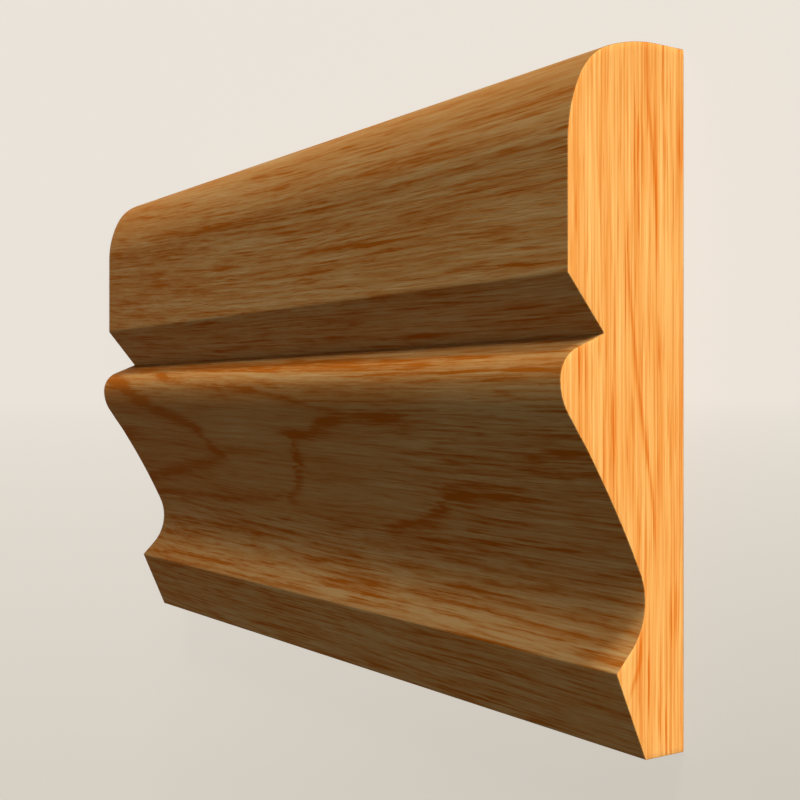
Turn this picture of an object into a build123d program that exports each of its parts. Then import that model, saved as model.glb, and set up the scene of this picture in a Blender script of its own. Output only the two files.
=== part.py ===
from build123d import *
from math import acos, atan2, copysign, cos, degrees, hypot, radians, sin
import os

# A dado rail: one length of moulded oak, cut square at both ends.
# It lies on its flat back, so +Z points out of the wall, +Y up the wall and +X along the rail.
# The origin is the centre of the back. Sizes are in millimetres and angles in degrees.

rail_length = 115.0

# Heights of the members, stacked from the bottom edge up to the top edge.
bevel_height = 8.7
cove_lower_height = 6.5
ogee_height = 21.2
bead_shoulder_height = 4.4
quirk_flank_height = 5.45
fascia_height = 12.05
top_round_height = 10.7

# Depths, measured out from the flat back.
foot_depth = 5.2
lower_arris_depth = 9.0
cove_depth = 5.3
nose_depth = 16.0
quirk_depth = 10.6
fascia_depth = 15.1
top_edge_depth = 3.5

# Straights between a sharp corner and a curve: above the nose, and below the cove.
bead_straight = 3.7
cove_straight = 2.7

# Radii below the nose, down to the deepest line of the cove.
bead_radius = 5.6
slope_radius = 100.0
cove_radius = 6.5

# The top round has three centres: a tight corner between two flatter arcs.
corner_radius = 6.5
top_arc_turn = 20.0
front_arc_turn = 27.0

# Heights of the points where the members meet.
lower_arris_level = bevel_height
cove_level = lower_arris_level + cove_lower_height
nose_level = cove_level + ogee_height
quirk_level = nose_level + bead_shoulder_height
upper_arris_level = quirk_level + quirk_flank_height
round_level = upper_arris_level + fascia_height
rail_height = round_level + top_round_height


def at(level, depth):
    """A section point from its height above the bottom edge and its depth from the back."""
    return (level - rail_height / 2, depth)


def top_round_radii():
    """Radii of the two flatter arcs that bring the top round from the top edge to the fascia."""
    depth_run = fascia_depth - top_edge_depth
    top_sin = sin(radians(top_arc_turn))
    top_cos = cos(radians(top_arc_turn))
    front_sin = sin(radians(front_arc_turn))
    front_cos = cos(radians(front_arc_turn))
    depth_left = depth_run - corner_radius * (front_cos - top_sin)
    height_left = top_round_height - corner_radius * (top_cos - front_sin)
    determinant = top_sin * front_sin - (1 - front_cos) * (1 - top_cos)
    top_radius = (depth_left * front_sin - height_left * (1 - front_cos)) / determinant
    front_radius = (height_left * top_sin - depth_left * (1 - top_cos)) / determinant
    return top_radius, front_radius


def straight_start(crest, corner, straight):
    """Where a straight that ends at a corner leaves the arc that is upright at its crest."""
    rise = corner[0] - crest[0]
    run = corner[1] - crest[1]
    turn = 2 * atan2(run, abs(rise) + straight)
    level_step = copysign(straight, rise) * cos(turn)
    depth_step = straight * sin(turn)
    return (corner[0] - level_step, corner[1] - depth_step)


def corner_angle(side_a, side_b, opposite):
    """Angle between two sides of a triangle, from its three lengths."""
    return degrees(acos((side_a**2 + side_b**2 - opposite**2) / (2 * side_a * side_b)))


def ogee_turns():
    """How far the bead arc turns inward, and how far the long hollow slope turns back."""
    drop = nose_level - cove_level
    lean = (cove_depth + cove_radius) - (nose_depth - bead_radius)
    centre_gap = hypot(drop, lean)
    bead_reach = slope_radius + bead_radius
    cove_reach = slope_radius - cove_radius
    lean_angle = degrees(atan2(lean, drop))
    bead_turn = 90 - lean_angle - corner_angle(bead_reach, centre_gap, cove_reach)
    slope_turn = corner_angle(bead_reach, cove_reach, centre_gap)
    return bead_turn, slope_turn


def draw_top_round():
    """The rounded top edge, from the narrow flat on top down to the fascia."""
    top_radius, front_radius = top_round_radii()
    corner_turn = 90 - top_arc_turn - front_arc_turn
    top_arc = JernArc(at(rail_height, top_edge_depth), (0, 1), top_radius, top_arc_turn)
    corner_arc = JernArc(top_arc @ 1, top_arc % 1, corner_radius, corner_turn)
    return JernArc(corner_arc @ 1, corner_arc % 1, front_radius, front_arc_turn)


def draw_nose():
    """The shoulder that leaves the quirk and the bead arc that it rolls into, down to the nose."""
    quirk = at(quirk_level, quirk_depth)
    nose = at(nose_level, nose_depth)
    shoulder = Line(quirk, straight_start(nose, quirk, bead_straight))
    return TangentArc(shoulder @ 1, nose, tangent=shoulder % 1)


def draw_ogee(nose_arc):
    """The bead's underside, the long hollow slope and the cove, down to the foot."""
    bead_turn, slope_turn = ogee_turns()
    bead = JernArc(nose_arc @ 1, nose_arc % 1, bead_radius, bead_turn)
    slope = JernArc(bead @ 1, bead % 1, slope_radius, -slope_turn)
    cove_upper = JernArc(slope @ 1, slope % 1, cove_radius, slope_turn - bead_turn)
    lower_arris = at(lower_arris_level, lower_arris_depth)
    lip = straight_start(at(cove_level, cove_depth), lower_arris, cove_straight)
    TangentArc(cove_upper @ 1, lip, tangent=cove_upper % 1)
    return Polyline(lip, lower_arris, at(0, foot_depth))


with BuildPart() as rail:
    with BuildSketch(Plane.YZ):
        with BuildLine():
            front_arc = draw_top_round()
            Polyline(front_arc @ 1, at(upper_arris_level, fascia_depth), at(quirk_level, quirk_depth))
            foot = draw_ogee(draw_nose())
            Polyline(foot @ 1, at(0, 0), at(rail_height, 0), at(rail_height, top_edge_depth))
        make_face()
    extrude(amount=rail_length / 2, both=True)

os.makedirs("parts", exist_ok=True)
export_step(rail.part, "parts/dado_rail.step")
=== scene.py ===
import math

import bpy
import numpy as np
from bpy.props import FloatProperty, FloatVectorProperty, PointerProperty
from bpy.types import Operator, Panel, PropertyGroup
from mathutils import Matrix, Vector
from mathutils.geometry import delaunay_2d_cdt
from mathutils.noise import noise


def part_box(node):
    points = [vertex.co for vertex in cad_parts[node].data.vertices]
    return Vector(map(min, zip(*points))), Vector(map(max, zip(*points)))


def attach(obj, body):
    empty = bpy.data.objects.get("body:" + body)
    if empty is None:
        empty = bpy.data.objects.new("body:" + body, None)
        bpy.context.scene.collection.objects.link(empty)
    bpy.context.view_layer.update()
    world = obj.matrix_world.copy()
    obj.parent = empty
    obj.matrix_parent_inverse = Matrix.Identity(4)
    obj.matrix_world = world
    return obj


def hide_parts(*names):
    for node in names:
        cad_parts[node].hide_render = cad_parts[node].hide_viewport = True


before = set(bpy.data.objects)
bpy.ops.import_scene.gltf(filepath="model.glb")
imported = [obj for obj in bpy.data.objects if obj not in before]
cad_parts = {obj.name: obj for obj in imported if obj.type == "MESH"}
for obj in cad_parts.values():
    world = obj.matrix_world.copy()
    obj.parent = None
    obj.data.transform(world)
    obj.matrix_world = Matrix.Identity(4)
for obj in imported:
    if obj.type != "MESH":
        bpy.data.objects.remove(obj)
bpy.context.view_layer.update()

bl_info = {
    "name": "Dado Rail",
    "version": (1, 0, 0),
    "blender": (4, 5, 0),
    "location": "3D View > Sidebar > Dado Rail",
    "description": "A short length of moulded oak dado rail lying on its back",
    "category": "Object",
}

NODE = "dado_rail"
MM = 0.001

# Steps of the mesh, in millimetres.
OUTLINE_STEP = 0.05
FRONT_STEP = 0.32
BACK_STEP = 1.0
ALONG_STEP = 0.8
END_STEP = 0.55

# A corner of the section that turns by more than this many degrees is an arris, left sharp at first.
SHARP_TURN = 30
# How many outline points on each side of an arris the easing reaches.
EASING_POINTS = 12
# Anything this low is the back, and anything this near the end is the end's face, in millimetres.
BACK_LEVEL = 0.02
NEAR_END = 0.01
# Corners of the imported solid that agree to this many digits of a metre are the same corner.
PLACE_DIGITS = 7
# How strongly the mesh crowds where the outline turns.
TURN_CROWDING = 0.7
# The least gap between the end's outline and its inner points, as a share of their step.
INNER_GAP = 0.6
# The triangles that the end keeps, those inside its outline, and how close two points may be, in metres.
INSIDE_ONLY = 1
SAME_POINT = 1e-9

# The waves that the saw left on the ends: pitch, skew and width, in millimetres.
SAW_PITCH = 1.6
SAW_SKEW = 9
SAW_WIDTH = 20

# The maps that the piece carries: where the grain runs, and the sheet that its colours bake on.
GRAIN_MAP = "GrainRun"
BAKE_MAP = "OFBake"
BAKE_SHEET = 172.0
BAKE_GAP = 1.5

# The piece's materials in order: the moulded faces and the back, then the sawn ends.
FACE_SLOT = 0
END_SLOT = 1

# The photograph's camera in the frame's own directions, in millimetres and degrees, and its picture.
CAMERA_PLACE = (144.587, -0.387, 91.953)
CAMERA_TURN = 33.842
FOCAL_PIXELS = 1258.04
PICTURE_PIXELS = 800
HORIZON_PIXEL = 404.62
SENSOR_WIDTH = 36.0

# Where along the rail the floor's shade is narrowest, and how it widens from there, in metres.
SHADE_PLACE = 0.077
SHADE_WIDTH = 0.13
# The slope, down from that place, at which the floor is fully shaded, and how softly it starts.
SHADE_SLOPE = -0.25
SHADE_SOFTNESS = 0.04
# Two places along the rail, in metres, and how much of the shade shows at each.
SHADE_FADE = (-0.08, 0.07, 0.75, 1.02)

# How far the grain's slope takes to level out, along the rail and round the girth, in millimetres.
SLOPE_RUN = 230.0
SLOPE_GIRTH = 100.0

# The length that the curves of the growth rings' edges are written over, in millimetres.
EDGE_SPAN = 120.0

# How much of a streak or a ring's edge is left one width away from its middle.
FADE = 0.37
# How sharply the rust lines start at their edges.
LINE_CRISPNESS = 7.5
# The tone at which the wood is fully rust or fully tan.
TONE_SWING = 2.4

# The members' bands round the girth, in millimetres: where each begins, is full, fades and ends.
# The fascia's band darkens its tone: painted shade on the flat face turned away from the raking lamps.
FASCIA_SHADE_BAND = (15.0, 18.0, 26.0, 31.0)
# The bead's band darkens its tone: painted shade under the fascia's overhang.
BEAD_SHADE_BAND = (43.0, 45.0, 48.0, 50.0)
SLOPE_BAND = (47.0, 50.0, 66.0, 69.0)
# The cove's band lifts its tone as painted light on its upturned lower part, and also holds its wavy rust
# lines.
COVE_BAND = (69.5, 73.5, 79.0, 80.5)
# Where the rounded top edge turns into the fascia, round the girth.
ROUND_EDGE = (13.0, 21.0)

# How glossy the oiled faces and the bare ends are. Both are far duller than varnish.
FACE_GLOSS = 0.004
END_GLOSS = 0.01
# How deep the finest pores and fibres look on the faces and on the ends, in millimetres.
FACE_BUMP = 0.02
END_BUMP = 0.03
BUMP_STRENGTH = 0.5

# Half the floor's width, in metres, and its gap below the rail, in millimetres.
FLOOR_REACH = 3.0
FLOOR_GAP = 0.01
# The share of the lamps' light that the floor swallows, so that it throws no glow on the rail.
FLOOR_SWALLOWS = 0.88

# Each lamp's name, the direction that it shines from, the name of its level and its width in degrees.
LAMPS = (
    ("low lamp", (0.18, 0.984, 0.0), "low_level", 18),
    ("high lamp", (0.17, 0.892, 0.417), "high_level", 15),
    ("front lamp", (0.91, -0.08, 0.4), "front_level", 20),
    ("end lamp", (1.0, 0.0, 0.02), "end_level", 10),
    ("far lamp", (-1.0, 0.0, 0.0), "far_level", 3),
)


class RailSizes(PropertyGroup):
    """Sizes of the rail's fine detail."""

    arris_easing: FloatProperty(
        name="Arris Easing", description="How far sanding has rounded the sharp corners",
        default=0.09 * MM, min=0.01 * MM, max=1 * MM, unit="LENGTH", precision=5)
    end_easing: FloatProperty(
        name="End Easing", description="How far the edge round each sawn end is broken",
        default=0.05 * MM, min=0.01 * MM, max=1 * MM, unit="LENGTH", precision=5)
    grain_relief: FloatProperty(
        name="Grain Relief", description="Depth of the raised grain on the moulded faces",
        default=0.012 * MM, min=0, max=0.2 * MM, unit="LENGTH", precision=6)
    saw_relief: FloatProperty(
        name="Saw Relief", description="Depth of the fibres that the saw left on the ends",
        default=0.03 * MM, min=0, max=0.2 * MM, unit="LENGTH", precision=6)


class RailColours(PropertyGroup):
    """Colours of the wood."""

    # The faces' colours are far darker than the ends': partly oil against bare end grain, partly painted
    # shade on the moulded faces and painted light on the sawn ends.
    face_mean: FloatVectorProperty(
        name="Face", description="Middle tone of the oiled faces",
        default=(0.36, 0.157, 0.039), subtype="COLOR", min=0, max=1)
    face_rust: FloatVectorProperty(
        name="Face Rust", description="Late wood and streaks on the oiled faces",
        default=(0.295, 0.076, 0.005), subtype="COLOR", min=0, max=1)
    face_tan: FloatVectorProperty(
        name="Face Tan", description="Pale wood between the streaks",
        default=(0.41, 0.237, 0.086), subtype="COLOR", min=0, max=1)
    end_mean: FloatVectorProperty(
        name="End", description="Middle tone of the bare sawn ends",
        default=(0.88, 0.36, 0.076), subtype="COLOR", min=0, max=1)
    end_rust: FloatVectorProperty(
        name="End Rust", description="Dark streaks on the sawn ends",
        default=(0.74, 0.17, 0.012), subtype="COLOR", min=0, max=1)
    end_tan: FloatVectorProperty(
        name="End Tan", description="Pale streaks on the sawn ends",
        default=(0.97, 0.53, 0.16), subtype="COLOR", min=0, max=1)


class StageLook(PropertyGroup):
    """Floor, background and lamps."""

    floor_high: FloatVectorProperty(
        name="Floor, Top Edge Side", description="Floor colour beyond the rail's top edge",
        default=(0.83, 0.775, 0.70), subtype="COLOR", min=0, max=1)
    # The darker floor colour is painted shade, widening below the rail.
    floor_shaded: FloatVectorProperty(
        name="Floor, Bottom Edge Side", description="Floor colour beyond the rail's bottom edge",
        default=(0.624, 0.584, 0.515), subtype="COLOR", min=0, max=1)
    low_level: FloatProperty(
        name="Low Lamp", description="Level of the lamp that rakes over the top edge, 1 for full",
        default=1.58, min=0, max=5)
    high_level: FloatProperty(
        name="High Lamp", description="Level of the lamp above it, 1 for full",
        default=0.535, min=0, max=5)
    front_level: FloatProperty(
        name="Front Lamp", description="Level of the lamp over the moulded face, 1 for full",
        default=0.43, min=0, max=5)
    end_level: FloatProperty(
        name="End Lamp", description="Level of the lamp that faces the sawn end, 1 for full",
        default=0.62, min=0, max=5)
    far_level: FloatProperty(
        name="Far Lamp", description="Level of the lamp that faces the far end, 1 for full",
        default=0.3, min=0, max=5)
    sky_level: FloatProperty(
        name="Sky", description="Level of the even light from all round",
        default=0.05, min=0, max=2)
    floor_glow: FloatProperty(
        name="Floor Glow", description="Share of the floor's colour that shows without lamps",
        default=0.93, min=0, max=1)


class DadoRailSettings(PropertyGroup):
    """Everything that the panel shows."""

    sizes: PointerProperty(type=RailSizes)
    colours: PointerProperty(type=RailColours)
    stage: PointerProperty(type=StageLook)


def settings():
    """What the panel shows, for this scene."""
    return bpy.context.scene.dado_rail


# Section outline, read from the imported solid.

def end_corners():
    """The section's corners in order, from the back's top corner over the moulded face."""
    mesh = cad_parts[NODE].data
    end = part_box(NODE)[1].x
    uses = {}
    for polygon in mesh.polygons:
        corners = [mesh.vertices[i].co for i in polygon.vertices]
        if min(c.x for c in corners) < end - NEAR_END * MM:
            continue
        places = [(round(c.y, PLACE_DIGITS), round(c.z, PLACE_DIGITS)) for c in corners]
        for pair in zip(places, places[1:] + places[:1]):
            uses[frozenset(pair)] = uses.get(frozenset(pair), 0) + 1
    beside = {}
    for pair, count in uses.items():
        if count == 1:
            first, second = pair
            beside.setdefault(first, []).append(second)
            beside.setdefault(second, []).append(first)
    start = max(beside, key=lambda p: (p[0] - p[1]))
    loop = [start, max(beside[start], key=lambda p: p[1])]
    while True:
        following = [p for p in beside[loop[-1]] if p != loop[-2]][0]
        if following == start:
            return np.array(loop)
        loop.append(following)


def run_angles(corners):
    """Direction of travel at both ends of each side of the loop, with its arcs rounded out."""
    sides = np.roll(corners, -1, 0) - corners
    lengths = np.hypot(*sides.T)
    angles = np.arctan2(sides[:, 1], sides[:, 0])
    turns = np.angle(np.exp(1j * (angles - np.roll(angles, 1))))
    sharp = np.abs(turns) > math.radians(SHARP_TURN)
    straight = sharp | np.roll(sharp, -1)
    leaving = angles.copy()
    for i in range(len(corners)):
        if sharp[i] or straight[i]:
            continue
        if straight[i - 1]:
            leaving[i] = angles[i - 1]
        elif turns[i - 1] * turns[(i + 1) % len(corners)] < 0:
            leaving[i] = angles[i - 1] + turns[i - 1] / 2
        else:
            share = lengths[i] / (lengths[i] + lengths[i - 1])
            leaving[i] = angles[i - 1] + turns[i] * share
    arriving = np.roll(leaving, -1)
    arriving[straight] = angles[straight]
    return sides, lengths, leaving, arriving


def rounded_outline():
    """The section outline at even small steps, its arcs smooth and its arrises eased."""
    corners = end_corners()
    sides, lengths, leaving, arriving = run_angles(corners)
    points = []
    for corner, side, length, start, stop in zip(corners, sides, lengths, leaving, arriving):
        count = max(2, math.ceil(length / (OUTLINE_STEP * MM)))
        t = np.linspace(0, 1, count, endpoint=False)[:, None]
        out = length * np.array([math.cos(start), math.sin(start)])
        into = length * np.array([math.cos(stop), math.sin(stop)])
        points.append(corner + side * (3 * t**2 - 2 * t**3)
                      + out * (t - 2 * t**2 + t**3) + into * (t**3 - t**2))
    loop = resampled(np.vstack(points), OUTLINE_STEP * MM)
    reach = settings().sizes.arris_easing / (OUTLINE_STEP * MM)
    far = np.arange(-EASING_POINTS, EASING_POINTS + 1)
    weights = np.exp(-far**2 / (2 * reach**2))
    weights /= weights.sum()
    return sum(w * np.roll(loop, k, 0) for k, w in zip(far, weights))


def travelled(loop):
    """Distance along a closed loop at each of its points, and once round at the end."""
    sides = np.roll(loop, -1, 0) - loop
    return np.concatenate([[0], np.cumsum(np.hypot(*sides.T))])


def resampled(loop, step):
    """A closed loop at even steps."""
    distance = travelled(loop)
    closed = np.vstack([loop, loop[:1]])
    even = np.linspace(0, distance[-1], round(distance[-1] / step), endpoint=False)
    return np.stack([np.interp(even, distance, closed[:, k]) for k in (0, 1)], 1)


def outline_turn(loop):
    """Signed curvature of a closed loop, per millimetre, positive on the arrises."""
    ahead = np.roll(loop, -1, 0) - loop
    behind = loop - np.roll(loop, 1, 0)
    cross = behind[:, 0] * ahead[:, 1] - behind[:, 1] * ahead[:, 0]
    angle = np.arctan2(cross, (ahead * behind).sum(1))
    return angle * MM / (np.hypot(*ahead.T) + np.hypot(*behind.T)) * 2


class Section:
    """The outline that the mesh is drawn through, with the girth, turn and outward side of each point."""

    def __init__(self):
        fine = rounded_outline()
        turn = outline_turn(fine)
        on_back = fine[:, 1] < BACK_LEVEL * MM
        step = np.where(on_back, BACK_STEP, FRONT_STEP) / (1 + TURN_CROWDING * np.abs(turn))
        stretch = travelled(fine)
        pace = np.concatenate([[0], np.cumsum(np.diff(stretch) / (step * MM))])
        even = np.linspace(0, pace[-1], round(pace[-1]), endpoint=False)
        closed = np.vstack([fine, fine[:1]])
        self.points = np.stack([np.interp(even, pace, closed[:, k]) for k in (0, 1)], 1)
        self.girth = np.interp(even, pace, stretch)
        self.turn = np.interp(even, pace, np.append(turn, turn[0]))
        self.whole_girth = stretch[-1]
        ahead = np.roll(self.points, -1, 0) - self.points
        ahead /= np.hypot(*ahead.T)[:, None]
        tangent = ahead + np.roll(ahead, 1, 0)
        tangent /= np.hypot(*tangent.T)[:, None]
        self.outward = np.stack([tangent[:, 1], -tangent[:, 0]], 1)

    def inset(self, depth):
        """The outline moved inward by a depth, and by less round the tight arrises."""
        tightness = np.clip(self.turn, 0, None) * depth / MM
        return self.points - self.outward * (depth / (1 + tightness))[:, None]


# The rail's mesh.

def swell(along, across, length, width, seed):
    """Smooth noise, drawn out along the grain, that swings about 0."""
    return noise(Vector((along / length, across / width, seed)))


def face_hollow(along, girth):
    """How deep the surface lies at a place on the moulded faces, from 0 to 1."""
    fibre = swell(along, girth, length=9, width=0.8, seed=3)
    wave = swell(along, girth, length=30, width=7, seed=8)
    return min(1, max(0, 0.5 - 0.7 * fibre - 0.5 * wave))


def end_hollow(up, out):
    """How deep the surface lies at a place on a sawn end, from 0 to 1."""
    fibre = swell(up, out, length=14, width=1.2, seed=21)
    saw = noise(Vector((up / SAW_PITCH + out / SAW_SKEW, out / SAW_WIDTH, 33)))
    return min(1, max(0, 0.5 - 0.6 * fibre - 0.4 * saw))


class RailMesh:
    """Vertices, faces and maps of the rail, collected piece by piece."""

    def __init__(self):
        self.vertices = []
        self.faces = []
        self.grain = []
        self.bake = []
        self.slots = []

    def add_face(self, corners, grain, bake, slot):
        self.faces.append(corners)
        self.grain.extend(grain)
        self.bake.extend(bake)
        self.slots.append(slot)


def body_rings(section, half_length):
    """Place along the rail and inset of each ring of the moulded faces.

    A ring close inside each end keeps the shading of the broken edge narrow.
    """
    easing = settings().sizes.end_easing
    flat = half_length - easing
    count = round(2 * flat / (ALONG_STEP * MM))
    steps = np.linspace(-flat, flat, count + 1)
    rings = [(x, 0.0) for x in (-flat, easing - flat, *steps[1:-1], flat - easing, flat)]
    shoulder = easing * (1 - math.sqrt(0.5))
    before = [(-half_length, easing), (-half_length + shoulder, shoulder)]
    after = [(half_length - shoulder, shoulder), (half_length, easing)]
    return before + rings + after


def add_body(rail, section, half_length):
    """The moulded faces and the back as one tube of rings."""
    relief = settings().sizes.grain_relief
    rings = body_rings(section, half_length)
    around = len(section.points)
    for x, inset in rings:
        outline = section.inset(inset)
        for (y, z), (normal_y, normal_z), girth in zip(outline, section.outward, section.girth):
            depth = relief * face_hollow(x / MM, girth / MM)
            rail.vertices.append((x, y - normal_y * depth, z - normal_z * depth))
    girths = np.append(section.girth, section.whole_girth)
    for i in range(len(rings) - 1):
        for j in range(around):
            following = (j + 1) % around
            corners = (i * around + j, i * around + following,
                       (i + 1) * around + following, (i + 1) * around + j)
            places = ((i, j), (i, j + 1), (i + 1, j + 1), (i + 1, j))
            grain = [(rings[a][0] + half_length, girths[b]) for a, b in places]
            bake = [(x / MM + BAKE_GAP, g / MM + BAKE_GAP) for x, g in grain]
            rail.add_face(corners, grain, bake, FACE_SLOT)
    return around, len(rings)


def end_fill(outline):
    """Points inside a section outline, and the triangles that join them to it."""
    low = outline.min(0)
    high = outline.max(0)
    step = END_STEP * MM
    inner = []
    for i, y in enumerate(np.arange(low[0] + step, high[0], step)):
        offset = step / 2 * (i % 2)
        for z in np.arange(low[1] + step / 2 + offset, high[1], step):
            gaps = np.hypot(*(outline - (y, z)).T)
            if gaps.min() > INNER_GAP * step:
                inner.append((y, z))
    points = [Vector(p) for p in outline] + [Vector(p) for p in inner]
    count = len(outline)
    edges = [(k, (k + 1) % count) for k in range(count)]
    _, _, faces, sources, _, _ = delaunay_2d_cdt(points, edges, [], INSIDE_ONLY, SAME_POINT)
    first = [source[0] for source in sources]
    return points, [tuple(first[k] for k in face) for face in faces]


def add_end(rail, section, side, half_length, ring_start, slot_offset):
    """One sawn end, joined to the last ring of the tube."""
    relief = settings().sizes.saw_relief
    outline = section.inset(settings().sizes.end_easing)
    points, faces = end_fill(outline)
    around = len(outline)
    index = list(range(ring_start, ring_start + around))
    for y, z in points[around:]:
        index.append(len(rail.vertices))
        sunk = relief * end_hollow(y / MM, z / MM)
        rail.vertices.append((side * (half_length - sunk), y, z))
    half_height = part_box(NODE)[1].y
    for face in faces:
        first, second, third = (Vector(points[k]) for k in face)
        upward = (second - first).cross(third - first) > 0
        order = face if upward == (side > 0) else face[::-1]
        grain = [(points[k][0] + half_height, points[k][1]) for k in order]
        bake = [(z / MM + slot_offset, y / MM + BAKE_GAP) for y, z in grain]
        rail.add_face(tuple(index[k] for k in order), grain, bake, END_SLOT)


def write_map(mesh, name, values):
    """Add a map to the mesh, with one place for each corner of each face."""
    layer = mesh.uv_layers.new(name=name)
    layer.data.foreach_set("uv", np.array(values, np.float32).ravel())


def rail_object():
    """The whole rail as one piece."""
    section = Section()
    half_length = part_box(NODE)[1].x
    rail = RailMesh()
    around, rings = add_body(rail, section, half_length)
    beside = 2 * half_length / MM + 2 * BAKE_GAP
    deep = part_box(NODE)[1].z / MM + BAKE_GAP
    add_end(rail, section, -1, half_length, 0, beside)
    add_end(rail, section, 1, half_length, (rings - 1) * around, beside + deep)
    mesh = bpy.data.meshes.new("moulded_rail")
    mesh.from_pydata(rail.vertices, [], rail.faces)
    write_map(mesh, GRAIN_MAP, rail.grain)
    write_map(mesh, BAKE_MAP, np.array(rail.bake) / BAKE_SHEET)
    mesh.polygons.foreach_set("material_index", rail.slots)
    mesh.polygons.foreach_set("use_smooth", [True] * len(rail.faces))
    mesh.validate()
    mesh.update()
    piece = bpy.data.objects.new("moulded_rail", mesh)
    bpy.context.scene.collection.objects.link(piece)
    return piece


# Short ways to write shader nodes.

def plug(tree, socket, value):
    """Link a socket to another one, or set its value."""
    if isinstance(value, bpy.types.NodeSocket):
        tree.links.new(value, socket)
    else:
        socket.default_value = value


def put(tree, kind, inputs=(), **options):
    """A node of one kind with its options set and its inputs filled or linked."""
    made = tree.nodes.new(kind)
    for name, value in options.items():
        setattr(made, name, value)
    for key, value in dict(inputs).items():
        plug(tree, made.inputs[key], value)
    return made


def reckon(tree, operation, first, second=0.0, third=0.0, clamp=False):
    """The result of one sum on values."""
    return put(tree, "ShaderNodeMath", {0: first, 1: second, 2: third},
               operation=operation, use_clamp=clamp).outputs[0]


def ranged(tree, value, low, high, to_low=0.0, to_high=1.0, smooth=False, clamp=True):
    """A value moved from one range to another, kept inside it unless clamp is off."""
    inputs = {"Value": value, "From Min": low, "From Max": high, "To Min": to_low, "To Max": to_high}
    kind = "SMOOTHSTEP" if smooth else "LINEAR"
    made = put(tree, "ShaderNodeMapRange", inputs, interpolation_type=kind, clamp=clamp)
    return made.outputs["Result"]


def blend(tree, factor, first, second):
    """A colour between two others: the first at 0 and the second at 1."""
    made = put(tree, "ShaderNodeMix", data_type="RGBA")
    plug(tree, made.inputs["Factor"], factor)
    plug(tree, made.inputs[6], first)
    plug(tree, made.inputs[7], second)
    return made.outputs[2]


def stretched_noise(tree, parts, length, width, seed, detail=1.0, roughness=0.5):
    """Noise drawn out along the grain, from 0 to 1."""
    place = put(tree, "ShaderNodeCombineXYZ", {
        0: reckon(tree, "DIVIDE", parts[0], length),
        1: reckon(tree, "DIVIDE", parts[1], width),
        2: seed}).outputs[0]
    made = put(tree, "ShaderNodeTexNoise",
               {"Vector": place, "Scale": 1.0, "Detail": detail, "Roughness": roughness})
    return made.outputs[0]


def new_group(name, inputs, outputs):
    """An empty node group with its sockets, and its input and output nodes."""
    group = bpy.data.node_groups.new(name, "ShaderNodeTree")
    kinds = {"value": "NodeSocketFloat", "vector": "NodeSocketVector", "colour": "NodeSocketColor"}
    for label, kind, value in inputs:
        socket = group.interface.new_socket(label, in_out="INPUT", socket_type=kinds[kind])
        socket.default_value = value
    for label, kind in outputs:
        group.interface.new_socket(label, in_out="OUTPUT", socket_type=kinds[kind])
    return group, put(group, "NodeGroupInput").outputs, put(group, "NodeGroupOutput").inputs


def place_group(tree, group, inputs):
    """The outputs of a node group, placed with its own inputs."""
    made = tree.nodes.new("ShaderNodeGroup")
    made.node_tree = group
    for name, value in inputs.items():
        plug(tree, made.inputs[name], value)
    return made.outputs


# Effects shared by the face and end materials.

def streak_group():
    """Streaks of one length and width, as a value that swings about 0 by about 1."""
    group, given, result = new_group(
        "Oak streaks",
        [("Run", "vector", (0, 0, 0)), ("Length", "value", 9.0), ("Width", "value", 0.7),
         ("Seed", "value", 0.0), ("Detail", "value", 2.0)],
        [("Streak", "value")])
    parts = put(group, "ShaderNodeSeparateXYZ", {0: given["Run"]}).outputs
    pattern = stretched_noise(group, parts, given["Length"], given["Width"], given["Seed"],
                              given["Detail"], roughness=0.55)
    swing = ranged(group, pattern, 0.36, 0.64, -1.0, 1.0, clamp=False)
    plug(group, result["Streak"], swing)
    return group


def wander_group():
    """The grain run in millimetres, bent gently and sloped as fibres are."""
    group, given, result = new_group(
        "Grain wander",
        [("Map", "vector", (0, 0, 0)), ("Bend", "value", 1.0), ("Slope", "value", 0.0),
         ("Fray", "value", 0.0), ("Seed", "value", 0.0)],
        [("Run", "vector")])
    run = put(group, "ShaderNodeVectorMath", {0: given["Map"], 1: (1 / MM, 1 / MM, 0)},
              operation="MULTIPLY").outputs[0]
    parts = put(group, "ShaderNodeSeparateXYZ", {0: run}).outputs
    bend = stretched_noise(group, parts, length=42.0, width=12.0, seed=given["Seed"])
    shift = reckon(group, "MULTIPLY", reckon(group, "SUBTRACT", bend, 0.5), given["Bend"])
    hairs = stretched_noise(group, parts, length=3.2, width=0.45, seed=given["Seed"])
    shift = reckon(group, "MULTIPLY_ADD", reckon(group, "SUBTRACT", hairs, 0.5), given["Fray"], shift)
    across = reckon(group, "ADD", parts[1], shift)
    level = ranged(group, parts[0], 0.0, SLOPE_RUN, 1.0, 0.0)
    lean = reckon(group, "MULTIPLY", reckon(group, "MULTIPLY", parts[0], level), given["Slope"])
    lean = reckon(group, "MULTIPLY", lean, ranged(group, parts[1], 0.0, SLOPE_GIRTH, 1.0, 0.0))
    sloped = reckon(group, "SUBTRACT", across, lean)
    plug(group, result["Run"], put(group, "ShaderNodeCombineXYZ", {0: parts[0], 1: sloped}).outputs[0])
    return group


def line_group():
    """Thin lines with long tapered ends, from 0 to 1."""
    group, given, result = new_group(
        "Rust lines",
        [("Run", "vector", (0, 0, 0)), ("Length", "value", 16.0), ("Width", "value", 0.5),
         ("Amount", "value", 0.4), ("Seed", "value", 0.0)],
        [("Line", "value")])
    parts = put(group, "ShaderNodeSeparateXYZ", {0: given["Run"]}).outputs
    pattern = stretched_noise(group, parts, given["Length"], given["Width"], given["Seed"])
    edge = ranged(group, given["Amount"], 0.0, 1.0, 0.7, 0.45)
    above = reckon(group, "SUBTRACT", pattern, edge)
    plug(group, result["Line"], reckon(group, "MULTIPLY", above, LINE_CRISPNESS, clamp=True))
    return group


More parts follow.
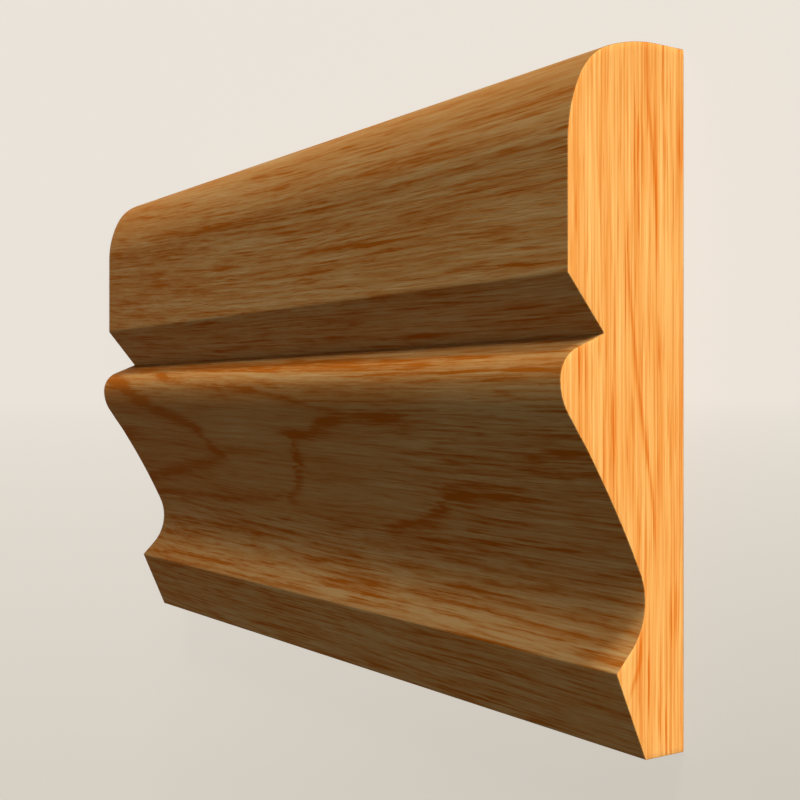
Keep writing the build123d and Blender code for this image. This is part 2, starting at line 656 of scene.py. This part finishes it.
def lone_streak_group():
    """One streak by itself, tapered to both ends, from 0 to 1."""
    group, given, result = new_group(
        "Lone streak",
        [("Run", "vector", (0, 0, 0)), ("Along", "value", 0.0), ("Across", "value", 0.0),
         ("Half Length", "value", 5.0), ("Half Width", "value", 0.4), ("Slope", "value", 0.0)],
        [("Streak", "value")])
    parts = put(group, "ShaderNodeSeparateXYZ", {0: given["Run"]}).outputs
    ahead = reckon(group, "SUBTRACT", parts[0], given["Along"])
    centre = reckon(group, "MULTIPLY_ADD", ahead, given["Slope"], given["Across"])
    aside = reckon(group, "SUBTRACT", parts[1], centre)
    far = reckon(group, "DIVIDE", ahead, given["Half Length"])
    wide = reckon(group, "DIVIDE", aside, given["Half Width"])
    gap = reckon(group, "ADD", reckon(group, "MULTIPLY", far, far), reckon(group, "MULTIPLY", wide, wide))
    plug(group, result["Streak"], reckon(group, "POWER", FADE, gap))
    return group


def tone_group():
    """Wood colour for a tone that swings about 0: rust below, tan above."""
    group, given, result = new_group(
        "Oak tone",
        [("Tone", "value", 0.0), ("Rust", "colour", (0.3, 0.1, 0.01, 1)),
         ("Mean", "colour", (0.4, 0.2, 0.05, 1)), ("Tan", "colour", (0.5, 0.3, 0.1, 1))],
        [("Colour", "colour")])
    down = ranged(group, given["Tone"], 0.0, -TONE_SWING)
    up = ranged(group, given["Tone"], 0.0, TONE_SWING)
    darker = blend(group, down, given["Mean"], given["Rust"])
    plug(group, result["Colour"], blend(group, up, darker, given["Tan"]))
    return group


def total(tree, *terms):
    """The sum of values, each with its own weight."""
    result = 0.0
    for value, weight in terms:
        result = reckon(tree, "MULTIPLY_ADD", value, weight, result)
    return result


def wood_material(name, groups, colours, build):
    """A wood material, its shader filled by build."""
    material = bpy.data.materials.new(name)
    material.use_nodes = True
    tree = material.node_tree
    tree.nodes.clear()
    shader = tree.nodes.new("ShaderNodeBsdfPrincipled")
    output = tree.nodes.new("ShaderNodeOutputMaterial")
    tree.links.new(shader.outputs[0], output.inputs["Surface"])
    build(tree, shader, groups, colours)
    return material


def opaque(colour):
    """A colour as a shader socket takes it, with its alpha."""
    return (*colour, 1.0)


def grain_run(tree, groups, **inputs):
    """The grain run of the piece, bent and sloped."""
    grain = put(tree, "ShaderNodeUVMap", uv_map=GRAIN_MAP).outputs[0]
    return place_group(tree, groups["wander"], {"Map": grain, **inputs})[0]


def streaks(tree, groups, run, length, width, seed, detail=1.0):
    """Streaks along the grain, with sizes in millimetres."""
    values = {"Run": run, "Length": length, "Width": width, "Seed": seed, "Detail": detail}
    return place_group(tree, groups["streak"], values)[0]


def lines(tree, groups, run, length, width, amount, seed):
    """Thin rust lines along the grain, with sizes in millimetres."""
    values = {"Run": run, "Length": length, "Width": width, "Amount": amount, "Seed": seed}
    return place_group(tree, groups["line"], values)[0]


def lone_streaks(tree, groups, run, places):
    """Several lone streaks together: (along, across, half length, half width, slope) each."""
    whole = 0.0
    for along, across, half_length, half_width, slope in places:
        values = {"Run": run, "Along": along, "Across": across, "Half Length": half_length,
                  "Half Width": half_width, "Slope": slope}
        whole = reckon(tree, "ADD", whole, place_group(tree, groups["lone"], values)[0])
    return whole


# Edges of the growth rings that the long slope under the nose cuts, from the far end of the rail:
# the places of the edge along the rail and round the girth, its softness above and below, its
# strength, and how far the fibres fray it.
RING_EDGES = (
    (((0, 45.6), (8, 47.0), (12, 48.8), (17, 50.7), (22, 52.2), (27, 53.6), (30, 55.0), (31.5, 57.0),
      (34.5, 59.6)), 1.1, 1.5, 1.5, 1.3),
    (((0, 65.0), (8, 63.9), (14, 63.0), (20, 62.1), (25, 61.2), (30, 60.3), (34.5, 59.6)),
     0.9, 1.1, 1.4, 1.2),
    (((0, 67.7), (15, 67.3), (25, 67.1), (32, 66.7), (43, 65.9), (47, 65.2), (50, 64.5)),
     0.5, 0.6, 1.2, 1.0),
    (((47, 65.6), (50, 64.8), (52.5, 63.4), (54.5, 61.6), (56, 60.0), (57, 58.2), (58, 56.4),
      (60, 55.3), (64, 54.9), (67, 53.6), (70, 52.8), (74, 52.2), (90, 52.6)), 0.6, 1.4, 1.4, 0.8),
    (((19, 44.6), (21, 45.5), (25, 46.5), (30, 47.2), (38, 47.8), (45, 48.0), (52, 48.4), (58, 49.0),
      (63, 49.7), (68, 50.5), (72, 51.3), (84, 51.9)), 0.4, 0.5, 1.2, 0.8),
    (((70, 68.1), (77, 67.3), (81, 66.5), (83.5, 65.5), (85.5, 64.2), (86.8, 62.8), (88, 61.6),
      (90, 61.0), (94, 60.8), (104, 60.6)), 0.4, 1.9, 1.35, 1.2),
)

# Dark and pale places that stand out: place along the rail and round the girth, half length,
# half width and slope.
DARK_STREAKS = (
    # The first, along the whole bead's upper side, is partly rust and partly painted shade under the
    # fascia's overhang.
    (45.0, 44.3, 60.0, 1.0, 0.02),
    (2.5, 56.0, 5.0, 1.3, 0.0),
    (6.5, 46.9, 3.5, 0.7, 0.08),
    (13.0, 49.6, 4.5, 0.7, 0.02),
    (30.0, 54.6, 2.6, 0.9, 0.1),
    (33.0, 59.0, 2.4, 0.9, 0.35),
    (23.0, 46.0, 2.6, 0.5, 0.2),
    (42.5, 49.3, 4.0, 0.3, 0.02),
    (57.0, 59.0, 1.3, 1.7, 0.0),
    (60.0, 55.1, 3.6, 0.7, 0.02),
    (70.0, 53.0, 3.0, 0.9, -0.1),
    (83.0, 52.5, 5.0, 0.6, 0.02),
    (58.8, 55.0, 3.2, 0.4, 0.0),
    (84.5, 65.0, 2.6, 0.5, -0.15),
    (86.5, 60.9, 3.2, 0.35, 0.02),
    (90.5, 62.6, 3.0, 0.6, 0.0),
    (99.0, 62.0, 5.0, 0.4, -0.02),
    (108.0, 58.0, 5.5, 1.1, 0.0),
    (112.0, 55.8, 3.0, 0.6, 0.05),
    (40.5, 20.7, 5.0, 0.3, 0.03),
    (75.0, 27.3, 7.0, 0.35, 0.05),
    (8.0, 29.4, 9.0, 0.3, 0.06),
    (105.0, 67.9, 9.0, 0.22, 0.01),
    (80.0, 69.2, 4.5, 0.3, 0.06),
)
PALE_STREAKS = (
    (68.0, 28.2, 9.0, 0.4, 0.02),
    (46.0, 27.6, 8.0, 0.35, 0.02),
    (97.0, 29.8, 6.0, 0.3, 0.02),
    (62.0, 46.9, 10.0, 0.5, 0.05),
    (79.0, 62.2, 7.0, 1.8, 0.0),
    (102.0, 50.5, 14.0, 2.4, 0.0),
    (44.0, 54.5, 9.0, 2.5, 0.05),
)

# The darker streak that wavers down the sawn ends.
RESIN_STREAKS = (
    (67.5, 4.9, 4.5, 0.4, 0.04),
    (60.5, 4.4, 4.5, 0.24, 0.1),
    (52.0, 3.7, 5.0, 0.18, 0.04),
    (50.0, 7.5, 5.5, 0.2, 0.02),
    (43.0, 7.0, 4.0, 0.24, 0.1),
    (36.0, 6.2, 4.0, 0.34, 0.12),
    (29.5, 5.1, 4.5, 0.24, 0.16),
    (24.0, 4.3, 3.5, 0.18, 0.08),
    (10.4, 6.0, 2.0, 0.26, -0.1),
    (7.6, 6.8, 1.6, 0.24, -0.4),
)


def edge_height(tree, along, places):
    """Place round the girth of a ring's edge, for a place along the rail."""
    made = put(tree, "ShaderNodeFloatCurve", {"Value": reckon(tree, "DIVIDE", along, EDGE_SPAN)})
    points = made.mapping.curves[0].points
    points[0].location = (places[0][0] / EDGE_SPAN, places[0][1] / EDGE_SPAN)
    points[1].location = (places[-1][0] / EDGE_SPAN, places[-1][1] / EDGE_SPAN)
    for x, girth in places[1:-1]:
        points.new(x / EDGE_SPAN, girth / EDGE_SPAN)
    made.mapping.extend = "HORIZONTAL"
    made.mapping.update()
    return reckon(tree, "MULTIPLY", made.outputs[0], EDGE_SPAN)


def band(tree, value, start, full, leave, stop):
    """1 between full and leave, easing to 0 at start and stop."""
    return reckon(tree, "MULTIPLY", ranged(tree, value, start, full, smooth=True),
                  ranged(tree, value, leave, stop, 1.0, 0.0, smooth=True))


def ring_edges(tree, groups, run):
    """Soft rust lines along the edges of the growth rings, frayed where they cross the fibres."""
    parts = put(tree, "ShaderNodeSeparateXYZ", {0: run}).outputs
    fibres = streaks(tree, groups, run, length=30.0, width=0.7, seed=29.0)
    rings = 0.0
    for places, above, below, strength, fray in RING_EDGES:
        along = reckon(tree, "MULTIPLY_ADD", fibres, fray, parts[0])
        aside = reckon(tree, "SUBTRACT", parts[1], edge_height(tree, along, places))
        upper = reckon(tree, "DIVIDE", reckon(tree, "MINIMUM", aside, 0.0), above)
        lower = reckon(tree, "DIVIDE", reckon(tree, "MAXIMUM", aside, 0.0), below)
        gap = reckon(tree, "SUBTRACT", lower, upper)
        line = reckon(tree, "POWER", FADE, reckon(tree, "MULTIPLY", gap, gap))
        start = places[0][0]
        stop = places[-1][0]
        if start > 0:
            begun = ranged(tree, parts[0], start - 1.0, start + 3.0, smooth=True)
            line = reckon(tree, "MULTIPLY", line, begun)
        ended = ranged(tree, parts[0], stop - 4.0, stop + 1.0, 1.0, 0.0, smooth=True)
        line = reckon(tree, "MULTIPLY", reckon(tree, "MULTIPLY", line, ended), strength)
        rings = reckon(tree, "MAXIMUM", rings, line)
    return rings


def roughen(tree, shader, depth, height):
    """Fine relief on a shader, as deep as depth in millimetres."""
    bump = put(tree, "ShaderNodeBump",
               {"Strength": BUMP_STRENGTH, "Distance": depth * MM, "Height": height})
    plug(tree, shader.inputs["Normal"], bump.outputs[0])


def even_grain(tree, groups, run, fine, pores):
    """The grain that all the faces share: streaks, dashes in loose crowds, threads and pores."""
    middle = streaks(tree, groups, run, length=20.0, width=1.0, seed=5.0)
    crowd = streaks(tree, groups, run, length=14.0, width=2.6, seed=71.0)
    dashes = lines(tree, groups, run, length=8.0, width=0.38, amount=0.75, seed=23.0)
    dashes = reckon(tree, "MULTIPLY", dashes, ranged(tree, crowd, -1.0, 1.2, 0.4, 1.3))
    threads = lines(tree, groups, run, length=36.0, width=0.28, amount=0.6, seed=83.0)
    long_rust = lines(tree, groups, run, length=26.0, width=0.7, amount=0.45, seed=61.0)
    grain = total(tree, (fine, 0.75), (middle, 0.7), (dashes, -1.7), (threads, -1.5),
                  (long_rust, -1.8), (pores, -0.7))
    return reckon(tree, "ADD", grain, 1.0)


def grain_strength(tree, parts):
    """How strongly the shared grain shows: less on the figured slope and on the rounded top edge."""
    on_slope = reckon(tree, "MULTIPLY", band(tree, parts[1], *SLOPE_BAND),
                      ranged(tree, parts[0], 70.0, 100.0, 1.0, 0.0))
    strength = reckon(tree, "MULTIPLY", ranged(tree, on_slope, 0.0, 1.0, 1.0, 0.52),
                      ranged(tree, parts[0], 0.0, 75.0, 0.9, 1.1))
    return reckon(tree, "MULTIPLY", strength, ranged(tree, parts[1], *ROUND_EDGE, 0.6, 1.0))


def figure(tree, groups, place, fine):
    """The growth rings' edges and the dark places that stand out, broken up by fine streaks."""
    rings = ring_edges(tree, groups, place)
    dark = lone_streaks(tree, groups, place, DARK_STREAKS)
    return reckon(tree, "MULTIPLY", reckon(tree, "MULTIPLY_ADD", dark, 1.4, rings),
                  ranged(tree, fine, -1.5, 1.5, 1.5, 0.8))


def build_face(tree, shader, groups, colours):
    """Oiled, moulded oak: ring edges on the slope under the nose, streaks and lines everywhere."""
    run = grain_run(tree, groups, Bend=1.6, Slope=0.09, Fray=0.2, Seed=2.0)
    place = grain_run(tree, groups, Bend=0.6, Slope=0.0, Fray=0.9, Seed=2.0)
    parts = put(tree, "ShaderNodeSeparateXYZ", {0: place}).outputs
    fine = streaks(tree, groups, run, length=6.0, width=0.4, seed=11.0, detail=2.0)
    broad = streaks(tree, groups, run, length=50.0, width=4.0, seed=17.0)
    pores = lines(tree, groups, run, length=1.8, width=0.22, amount=0.6, seed=41.0)
    grain = even_grain(tree, groups, run, fine, pores)
    grain = reckon(tree, "MULTIPLY", grain, grain_strength(tree, parts))
    in_cove = band(tree, parts[1], *COVE_BAND)
    wavy = lines(tree, groups, place, length=18.0, width=0.9, amount=0.9, seed=91.0)
    wavy = reckon(tree, "MULTIPLY", wavy, in_cove)
    pale = lone_streaks(tree, groups, place, PALE_STREAKS)
    far_part = ranged(tree, parts[0], 0.0, 50.0, 1.0, 0.0)
    # In this sum the cove's lift is painted light, and the bead's and the fascia's darkening is painted
    # shade.
    tone = total(tree, (grain, 1.0), (broad, 0.4), (figure(tree, groups, place, fine), -1.25),
                 (pale, 1.1), (wavy, -2.0), (in_cove, 0.6), (far_part, -0.5),
                 (band(tree, parts[1], *BEAD_SHADE_BAND), -0.6),
                 (band(tree, parts[1], *FASCIA_SHADE_BAND), -0.35))
    wood = place_group(tree, groups["tone"], {
        "Tone": tone, "Rust": opaque(colours.face_rust),
        "Mean": opaque(colours.face_mean), "Tan": opaque(colours.face_tan)})[0]
    plug(tree, shader.inputs["Base Color"], wood)
    plug(tree, shader.inputs["Roughness"], ranged(tree, tone, -2.0, 2.0, 0.56, 0.44))
    shader.inputs["Specular IOR Level"].default_value = FACE_GLOSS
    roughen(tree, shader, FACE_BUMP, total(tree, (fine, 0.4), (pores, -1.0)))


def build_end(tree, shader, groups, colours):
    """Bare sawn end: long pale and dark streaks that run from edge to edge."""
    run = grain_run(tree, groups, Bend=0.6, Slope=0.0, Fray=0.1, Seed=9.0)
    fine = streaks(tree, groups, run, length=22.0, width=0.32, seed=4.0)
    middle = streaks(tree, groups, run, length=34.0, width=1.1, seed=6.0)
    rust = lines(tree, groups, run, length=9.0, width=0.42, amount=0.55, seed=51.0)
    hairs = lines(tree, groups, run, length=12.0, width=0.18, amount=0.8, seed=37.0)
    resin = lone_streaks(tree, groups, run, RESIN_STREAKS)
    tone = total(tree, (fine, 0.95), (middle, 0.55), (rust, -1.5), (hairs, -1.1), (resin, -2.1))
    tone = reckon(tree, "ADD", tone, 0.85)
    wood = place_group(tree, groups["tone"], {
        "Tone": tone, "Rust": opaque(colours.end_rust),
        "Mean": opaque(colours.end_mean), "Tan": opaque(colours.end_tan)})[0]
    plug(tree, shader.inputs["Base Color"], wood)
    plug(tree, shader.inputs["Roughness"], ranged(tree, tone, -2.0, 2.0, 0.75, 0.62))
    shader.inputs["Specular IOR Level"].default_value = END_GLOSS
    roughen(tree, shader, END_BUMP, total(tree, (fine, 0.5), (rust, -0.8)))


def wood_groups():
    """The shader node groups that both wood materials are made of."""
    return {"streak": streak_group(), "wander": wander_group(), "line": line_group(),
            "lone": lone_streak_group(), "tone": tone_group()}


class DADO_OT_build_rail(Operator):
    """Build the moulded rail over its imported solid"""

    bl_idname = "dado_rail.build_rail"
    bl_label = "Build Rail"

    def execute(self, context):
        piece = rail_object()
        groups = wood_groups()
        colours = settings().colours
        piece.data.materials.append(wood_material("Oiled oak face", groups, colours, build_face))
        piece.data.materials.append(wood_material("Sawn oak end", groups, colours, build_end))
        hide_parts(NODE)
        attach(piece, "root")
        return {"FINISHED"}


# The stage.

def camera_ray_share(tree):
    """1 for rays that show the background, and 0 for rays that light the rail."""
    path = tree.nodes.new("ShaderNodeLightPath").outputs
    seen = reckon(tree, "MAXIMUM", path["Is Camera Ray"], path["Is Glossy Ray"])
    return reckon(tree, "MAXIMUM", seen, path["Is Transmission Ray"])


def floor_material(look):
    """Two pale tones: the lighter one up the wall side, and a painted shade that widens below the rail.
    """
    material = bpy.data.materials.new("Pale floor")
    material.use_nodes = True
    tree = material.node_tree
    shader = tree.nodes["Principled BSDF"]
    place = put(tree, "ShaderNodeTexCoord").outputs["Object"]
    parts = put(tree, "ShaderNodeSeparateXYZ", {0: place}).outputs
    aside = reckon(tree, "ABSOLUTE", reckon(tree, "SUBTRACT", SHADE_PLACE, parts[0]))
    away = reckon(tree, "ADD", aside, SHADE_WIDTH)
    spread = ranged(tree, reckon(tree, "DIVIDE", parts[1], away), 0.0, SHADE_SLOPE)
    bent = reckon(tree, "SQRT", reckon(tree, "ADD", spread, SHADE_SOFTNESS))
    share = reckon(tree, "MULTIPLY", reckon(tree, "DIVIDE", spread, bent),
                   ranged(tree, parts[0], *SHADE_FADE))
    colour = blend(tree, share, opaque(look.floor_high), opaque(look.floor_shaded))
    plug(tree, shader.inputs["Base Color"], blend(tree, FLOOR_SWALLOWS, colour, (0, 0, 0, 1)))
    plug(tree, shader.inputs["Emission Color"], colour)
    plug(tree, shader.inputs["Emission Strength"],
         reckon(tree, "MULTIPLY", camera_ray_share(tree), look.floor_glow))
    shader.inputs["Roughness"].default_value = 0.9
    shader.inputs["Specular IOR Level"].default_value = 0.0
    return material


def add_floor(look):
    """A wide floor, a hair below the rail's back so that the two faces don't share a plane."""
    reach = FLOOR_REACH
    corners = [(-reach, -reach, 0), (reach, -reach, 0), (reach, reach, 0), (-reach, reach, 0)]
    mesh = bpy.data.meshes.new("floor")
    mesh.from_pydata(corners, [], [(0, 1, 2, 3)])
    mesh.materials.append(floor_material(look))
    floor = bpy.data.objects.new("floor", mesh)
    floor.location.z = -FLOOR_GAP * MM
    bpy.context.scene.collection.objects.link(floor)


def add_lamp(name, towards, level, width):
    """A lamp far off in one direction, whose level 1 shows a white surface as white."""
    data = bpy.data.lights.new(name, "SUN")
    data.energy = level * math.pi
    data.angle = math.radians(width)
    lamp = bpy.data.objects.new(name, data)
    lamp.rotation_mode = "QUATERNION"
    lamp.rotation_quaternion = Vector(towards).to_track_quat("Z", "Y")
    lamp.location = Vector(towards).normalized()
    bpy.context.scene.collection.objects.link(lamp)


def add_sky(look):
    """Even light on the rail, and the floor's colour wherever the background shows."""
    world = bpy.data.worlds.new("Even light")
    bpy.context.scene.world = world
    world.use_nodes = True
    tree = world.node_tree
    background = tree.nodes["Background"]
    seen = camera_ray_share(tree)
    plug(tree, background.inputs["Color"],
         blend(tree, seen, (1, 1, 1, 1), opaque(look.floor_high)))
    plug(tree, background.inputs["Strength"], ranged(tree, seen, 0.0, 1.0, look.sky_level, 1.0))


def add_camera():
    """The photograph's viewpoint: the picture's upright runs up the wall side, along +Y."""
    data = bpy.data.cameras.new("camera")
    data.sensor_width = SENSOR_WIDTH
    data.lens = SENSOR_WIDTH * FOCAL_PIXELS / PICTURE_PIXELS
    data.shift_y = (HORIZON_PIXEL - PICTURE_PIXELS / 2) / PICTURE_PIXELS
    data.clip_start = 0.005
    data.clip_end = 20.0
    turn = math.radians(CAMERA_TURN)
    right = Vector((math.sin(turn), 0, -math.cos(turn)))
    back = Vector((math.cos(turn), 0, math.sin(turn)))
    camera = bpy.data.objects.new("camera", data)
    camera.matrix_world = Matrix.Translation(Vector(CAMERA_PLACE) * MM) @ Matrix(
        (right, (0, 1, 0), back)).transposed().to_4x4()
    bpy.context.scene.collection.objects.link(camera)
    bpy.context.scene.camera = camera


class DADO_OT_build_stage(Operator):
    """Build the floor, the lamps and the camera"""

    bl_idname = "dado_rail.build_stage"
    bl_label = "Build Stage"

    def execute(self, context):
        look = settings().stage
        add_floor(look)
        for name, towards, level, width in LAMPS:
            add_lamp(name, towards, getattr(look, level), width)
        add_sky(look)
        add_camera()
        context.scene.view_settings.view_transform = "Standard"
        return {"FINISHED"}


class DADO_PT_panel(Panel):
    """Sizes, colours and build buttons of the rail"""

    bl_idname = "DADO_PT_panel"
    bl_label = "Dado Rail"
    bl_space_type = "VIEW_3D"
    bl_region_type = "UI"
    bl_category = "Dado Rail"

    def draw(self, context):
        for group in (settings().sizes, settings().colours, settings().stage):
            column = self.layout.column(align=True)
            for name in group.bl_rna.properties.keys():
                if name not in ("rna_type", "name"):
                    column.prop(group, name)
        self.layout.operator(DADO_OT_build_rail.bl_idname)
        self.layout.operator(DADO_OT_build_stage.bl_idname)


CLASSES = (RailSizes, RailColours, StageLook, DadoRailSettings,
           DADO_OT_build_rail, DADO_OT_build_stage, DADO_PT_panel)


def register():
    for kind in CLASSES:
        bpy.utils.register_class(kind)
    bpy.types.Scene.dado_rail = PointerProperty(type=DadoRailSettings)


def unregister():
    del bpy.types.Scene.dado_rail
    for kind in reversed(CLASSES):
        bpy.utils.unregister_class(kind)


def main():
    register()
    bpy.ops.dado_rail.build_rail()
    bpy.ops.dado_rail.build_stage()


if __name__ == "__main__":
    main()
